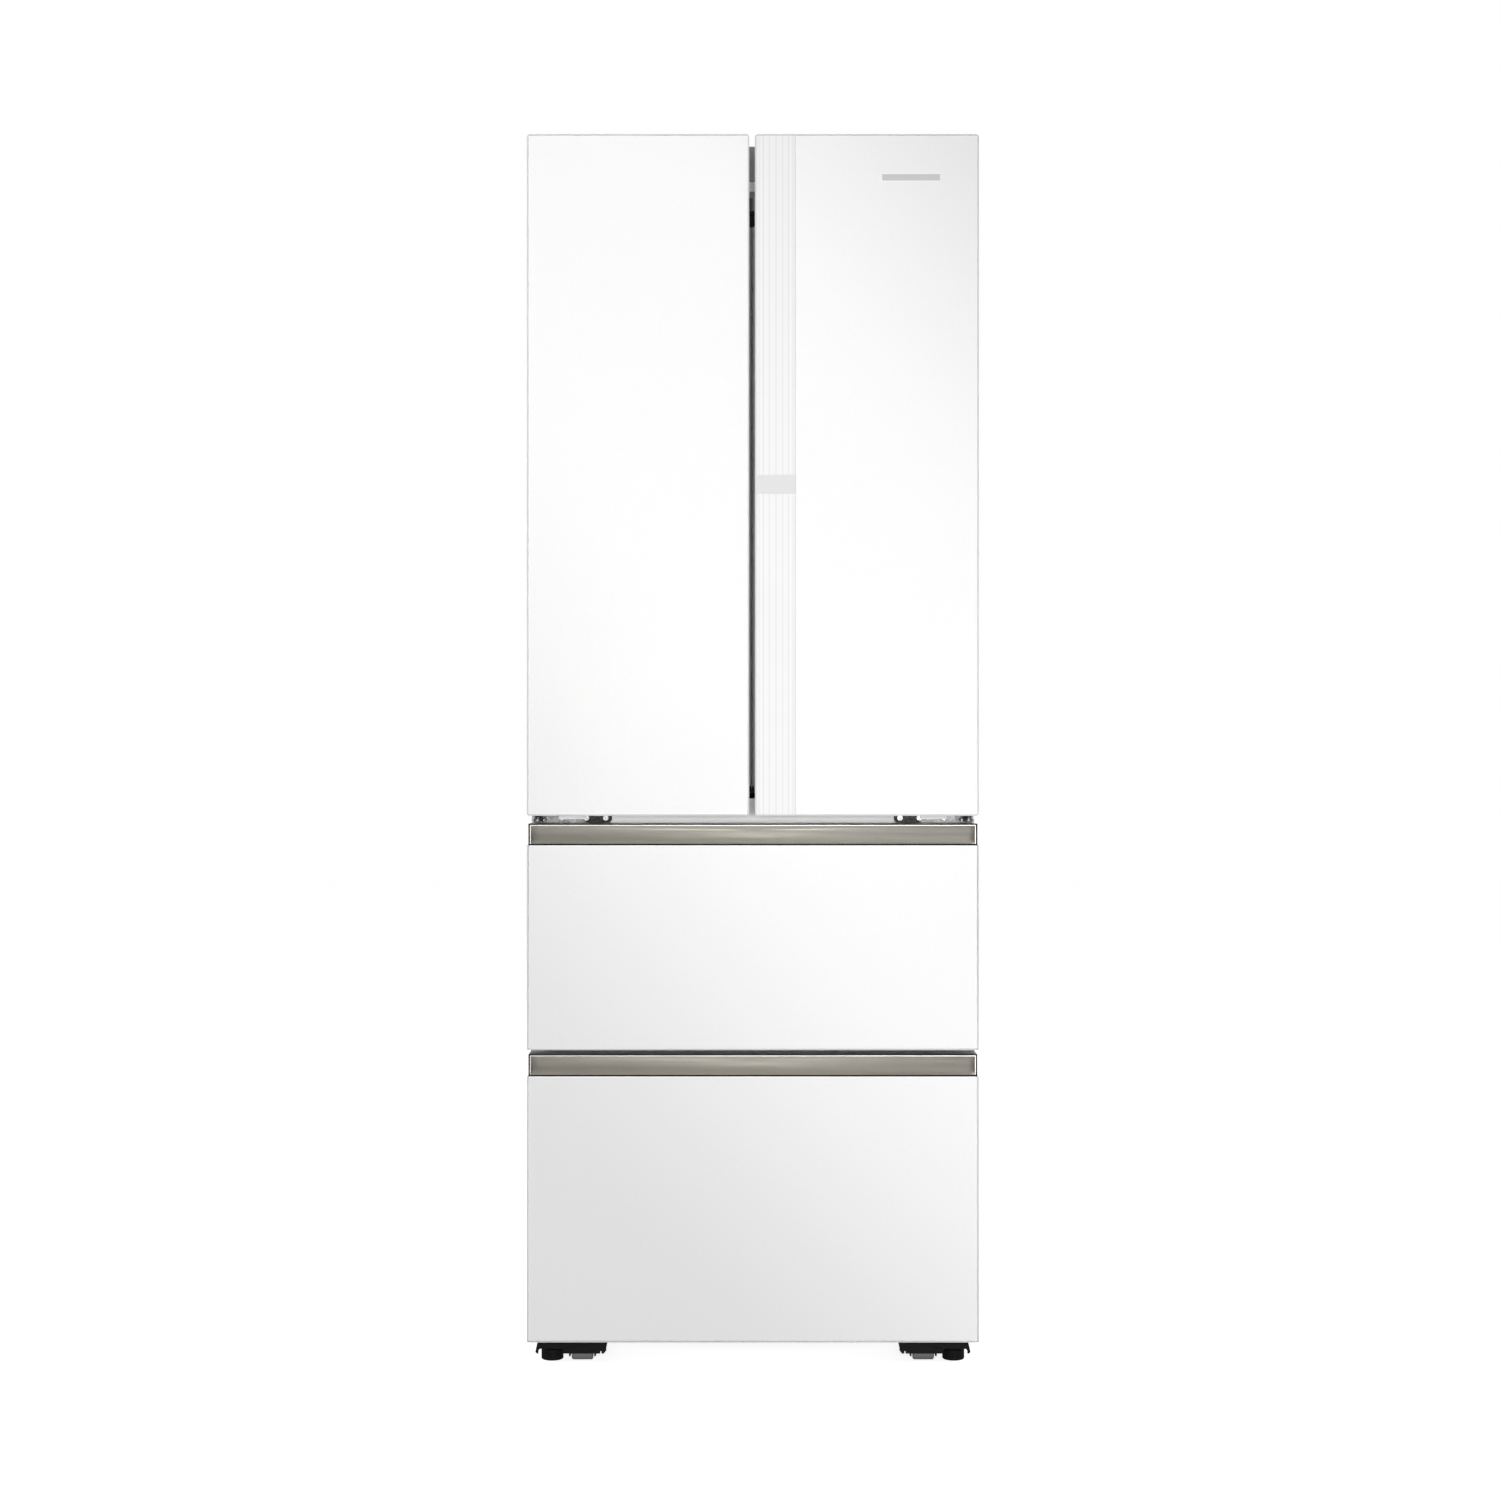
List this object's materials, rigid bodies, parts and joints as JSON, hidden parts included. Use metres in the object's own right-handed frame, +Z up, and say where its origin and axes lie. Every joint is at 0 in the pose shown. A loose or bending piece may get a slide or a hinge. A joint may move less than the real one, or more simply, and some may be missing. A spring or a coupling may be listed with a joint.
{
  "type": "french door refrigerator",
  "caption": "Tall cabinet refrigerator with a pair of hinged glass doors above glass-fronted pull-out drawers with full-width metal grips.",
  "frame": {"origin": "on the floor, under the middle of the bounding box", "axes": "+Z up, the doors and drawers face -Y, +X to the right as seen from the front"},
  "size_m": [0.7, 0.676, 1.91],
  "materials": {
    "panel_glass": "white back-painted glass, polished",
    "frame_plastic": "light grey satin",
    "foam": "foamed insulation",
    "liner_plastic": "white vacuum-formed sheet",
    "gasket_rubber": "soft grey",
    "clear_plastic": "clear, faintly blue",
    "column_finish": "white fluted",
    "plate_metal": "satin silver",
    "beam_plastic": "dark grey satin",
    "handle_metal": "champagne, brushed along its length",
    "white_steel": "white semi-gloss paint",
    "zinc_steel": "galvanised",
    "hinge_chrome": "bright zinc plate",
    "shelf_glass": "clear tempered",
    "black_steel": "black paint",
    "foot_plastic": "black, knurled",
    "roller_plastic": "grey nylon",
    "dark_plastic": "dark grey",
    "coil_aluminium": "bare fins and tube",
    "motor_steel": "zinc plate"
  },
  "bodies": {
    "cabinet": {"cabinet_wrap": "white_steel", "rear_panel": "zinc_steel", "insulation_foam": "foam", "compartment_liners": "liner_plastic", "crossrails": "white_steel", "top_trim": "beam_plastic", "hinge_brackets": "hinge_chrome", "hinge_screws": "hinge_chrome", "beam_guide": "beam_plastic", "glass_shelves": "shelf_glass", "crisper_bins": "clear_plastic", "interior_covers": "liner_plastic", "cabinet_slide_members": "zinc_steel", "cooling_coils": "coil_aluminium", "fan_motors": "motor_steel", "compressor": "black_steel", "drain_pan": "dark_plastic", "rear_cover": "dark_plastic", "mains_inlet_gland": "dark_plastic", "base_pan": "zinc_steel", "foot_brackets": "black_steel", "roller_axles": "hinge_chrome"},
    "left_door": {"left_door_frame": "frame_plastic", "left_door_core": "foam", "left_door_liner": "liner_plastic", "left_door_gasket": "gasket_rubber", "left_door_glass": "panel_glass", "left_door_bins": "clear_plastic"},
    "right_door": {"right_door_frame": "frame_plastic", "right_door_core": "foam", "right_door_liner": "liner_plastic", "right_door_gasket": "gasket_rubber", "right_door_glass": "panel_glass", "right_door_bins": "clear_plastic", "ribbed_column": "column_finish", "blank_plates": "plate_metal"},
    "centre_beam": {"centre_beam": "beam_plastic"},
    "middle_drawer": {"middle_drawer_frame": "frame_plastic", "middle_drawer_core": "foam", "middle_drawer_glass": "panel_glass", "middle_drawer_handle": "handle_metal", "middle_drawer_gasket": "gasket_rubber", "middle_drawer_tub": "clear_plastic", "middle_drawer_members": "zinc_steel"},
    "lower_drawer": {"lower_drawer_frame": "frame_plastic", "lower_drawer_core": "foam", "lower_drawer_glass": "panel_glass", "lower_drawer_handle": "handle_metal", "lower_drawer_gasket": "gasket_rubber", "lower_drawer_tub": "clear_plastic", "lower_drawer_members": "zinc_steel"},
    "middle_slide_stage": {"middle_slide_stage": "zinc_steel"},
    "lower_slide_stage": {"lower_slide_stage": "zinc_steel"},
    "levelling_foot_left": {"levelling_foot_left": "foot_plastic"},
    "levelling_foot_right": {"levelling_foot_right": "foot_plastic"},
    "front_roller_left": {"front_roller_left": "roller_plastic"},
    "front_roller_right": {"front_roller_right": "roller_plastic"},
    "rear_wheels": {"rear_wheels": "roller_plastic"},
    "condenser_fan": {"condenser_fan": "dark_plastic"},
    "evaporator_fan": {"evaporator_fan": "dark_plastic"}
  },
  "joints": [
    {"name": "left_door_hinge", "type": "hinge", "parent": "cabinet", "child": "left_door", "pos_m": [-0.336, -0.308, 1.36], "axis": [0, 0, -1], "range_deg": [0, 120]},
    {"name": "right_door_hinge", "type": "hinge", "parent": "cabinet", "child": "right_door", "pos_m": [0.336, -0.308, 1.36], "axis": [0, 0, 1], "range_deg": [0, 120]},
    {"name": "beam_pivot", "type": "hinge", "parent": "left_door", "child": "centre_beam", "pos_m": [-0.034, -0.2565, 1.34], "axis": [0, 0, 1], "range_deg": [0, 90]},
    {"name": "middle_drawer_slide", "type": "slide", "parent": "cabinet", "child": "middle_drawer", "axis": [0, -1, 0], "range_m": [0, 0.38]},
    {"name": "middle_stage_slide", "type": "slide", "parent": "cabinet", "child": "middle_slide_stage", "axis": [0, -1, 0], "range_m": [0, 0.19]},
    {"name": "lower_drawer_slide", "type": "slide", "parent": "cabinet", "child": "lower_drawer", "axis": [0, -1, 0], "range_m": [0, 0.38]},
    {"name": "lower_stage_slide", "type": "slide", "parent": "cabinet", "child": "lower_slide_stage", "axis": [0, -1, 0], "range_m": [0, 0.19]},
    {"name": "levelling_screw_left", "type": "hinge", "parent": "cabinet", "child": "levelling_foot_left", "pos_m": [-0.315, -0.276, 0.02], "axis": [0, 0, 1], "continuous": true},
    {"name": "levelling_screw_right", "type": "hinge", "parent": "cabinet", "child": "levelling_foot_right", "pos_m": [0.315, -0.276, 0.02], "axis": [0, 0, 1], "continuous": true},
    {"name": "front_roller_left_spin", "type": "hinge", "parent": "cabinet", "child": "front_roller_left", "pos_m": [-0.267, -0.284, 0.0155], "axis": [1, 0, 0], "continuous": true},
    {"name": "front_roller_right_spin", "type": "hinge", "parent": "cabinet", "child": "front_roller_right", "pos_m": [0.267, -0.284, 0.0155], "axis": [1, 0, 0], "continuous": true},
    {"name": "rear_wheels_spin", "type": "hinge", "parent": "cabinet", "child": "rear_wheels", "pos_m": [0, 0.3, 0.02], "axis": [1, 0, 0], "continuous": true},
    {"name": "condenser_fan_spin", "type": "hinge", "parent": "cabinet", "child": "condenser_fan", "pos_m": [-0.03, 0.225, 0.165], "axis": [1, 0, 0], "continuous": true},
    {"name": "evaporator_fan_spin", "type": "hinge", "parent": "cabinet", "child": "evaporator_fan", "pos_m": [0, 0.222, 0.756], "axis": [0, 1, 0], "continuous": true}
  ],
  "couplings": [
    {"joint": "beam_pivot", "follows": "left_door_hinge", "ratio": 0.75},
    {"joint": "middle_stage_slide", "follows": "middle_drawer_slide", "ratio": 0.5},
    {"joint": "lower_stage_slide", "follows": "lower_drawer_slide", "ratio": 0.5}
  ]
}
